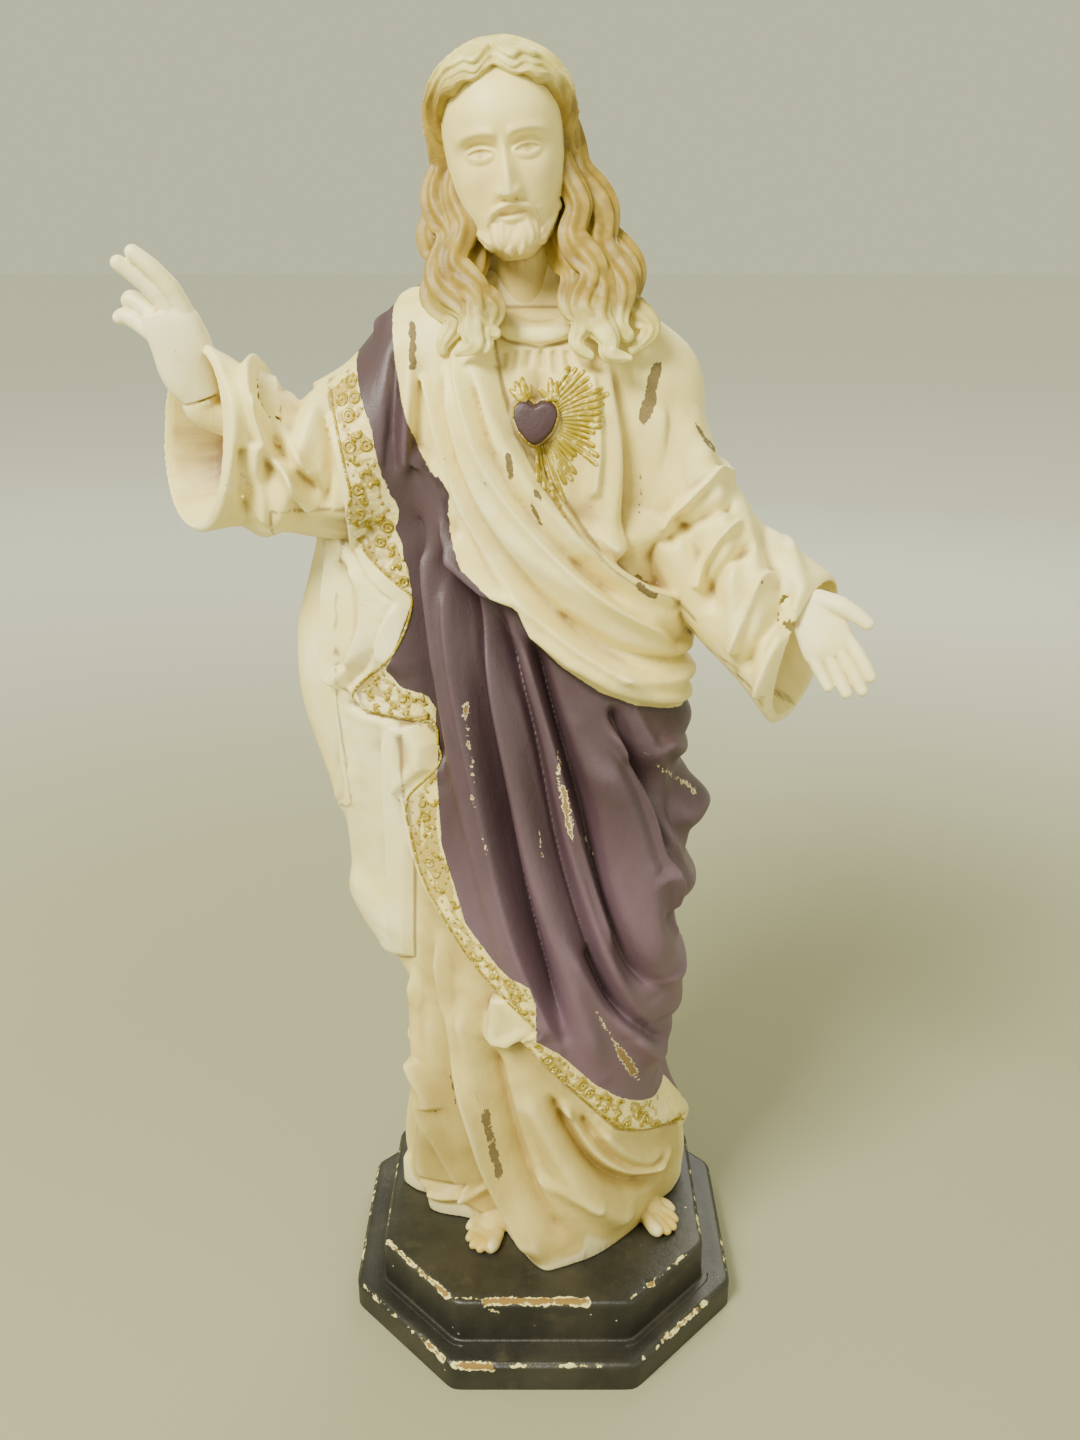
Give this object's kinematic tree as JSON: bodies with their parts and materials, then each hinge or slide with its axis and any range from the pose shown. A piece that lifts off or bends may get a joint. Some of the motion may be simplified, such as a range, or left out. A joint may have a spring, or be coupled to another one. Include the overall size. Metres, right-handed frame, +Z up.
{
  "type": "devotional statue",
  "caption": "Painted plaster standing figure in a robe and mantle, arms open, on a stepped eight-sided plinth.",
  "frame": {"origin": "centre of the plinth's underside", "axes": "+Z up, -Y towards the front of the figure, +X towards the figure's left arm"},
  "size_m": [0.4196, 0.262, 0.7989],
  "materials": {
    "painted_plaster": "satin",
    "black_paint": "satin"
  },
  "bodies": {
    "root": {"plinth": "black_paint", "figure": "painted_plaster", "right_hand": "painted_plaster", "left_hand": "painted_plaster"}
  },
  "joints": []
}
